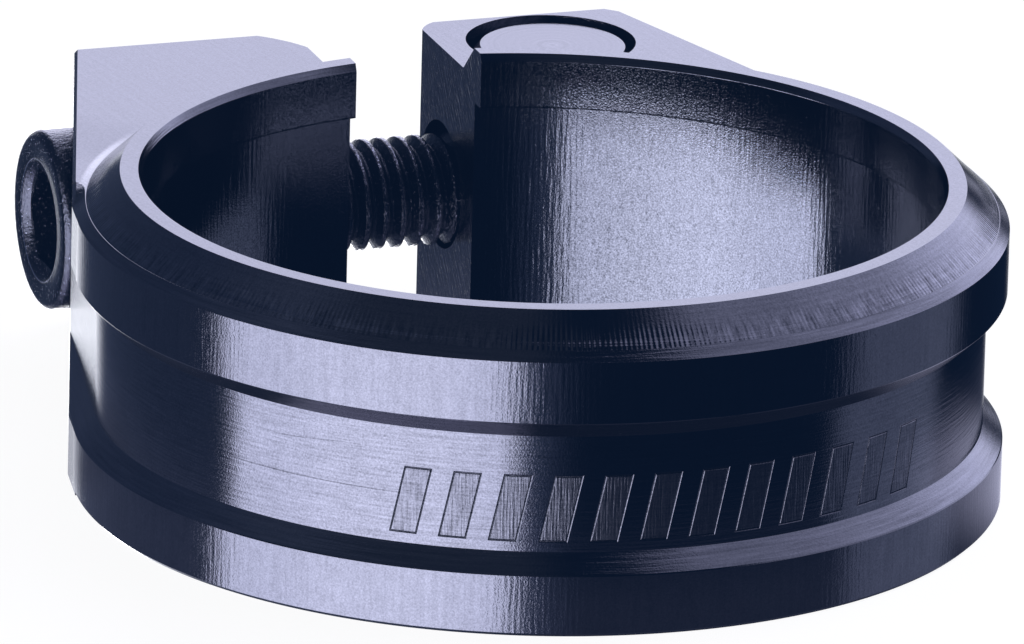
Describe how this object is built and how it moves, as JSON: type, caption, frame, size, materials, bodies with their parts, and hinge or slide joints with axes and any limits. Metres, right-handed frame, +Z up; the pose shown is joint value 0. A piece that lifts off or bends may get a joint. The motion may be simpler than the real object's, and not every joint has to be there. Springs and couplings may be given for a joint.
{
  "type": "seatpost clamp",
  "caption": "Split ring that grips a bicycle's seat tube round its seatpost, with rear lugs drawn together by a cross bolt and an upright barrel nut.",
  "frame": {"origin": "on the ring's axis, in its bottom face, where the clamp's lower edge lies round the seat tube", "axes": "+Z up the seatpost, +Y towards the lugs and the split at the back, +X along the bolt away from its head"},
  "size_m": [0.039, 0.0449, 0.0135],
  "materials": {
    "anodised_aluminium": "black anodised over turned and milled metal, glossy with fine tool marks",
    "black_steel": "black coated steel, semi-gloss and finely speckled, worn bright on the thread's crests",
    "nut_aluminium": "black anodised with a turned end face, satin"
  },
  "bodies": {
    "clamp": {"clamp_body": "anodised_aluminium"},
    "nut": {"barrel_nut": "nut_aluminium"},
    "bolt": {"clamp_bolt": "black_steel"}
  },
  "joints": [
    {"name": "nut_swivel", "type": "hinge", "parent": "clamp", "child": "nut", "pos_m": [0.00776, 0.02155, 0.0061], "axis": [0, 0, 1], "range_deg": [-0.3, 0.3]},
    {"name": "bolt_turn", "type": "hinge", "parent": "nut", "child": "bolt", "pos_m": [-0.0104, 0.02155, 0.00592], "axis": [1, 0, 0], "continuous": true}
  ]
}
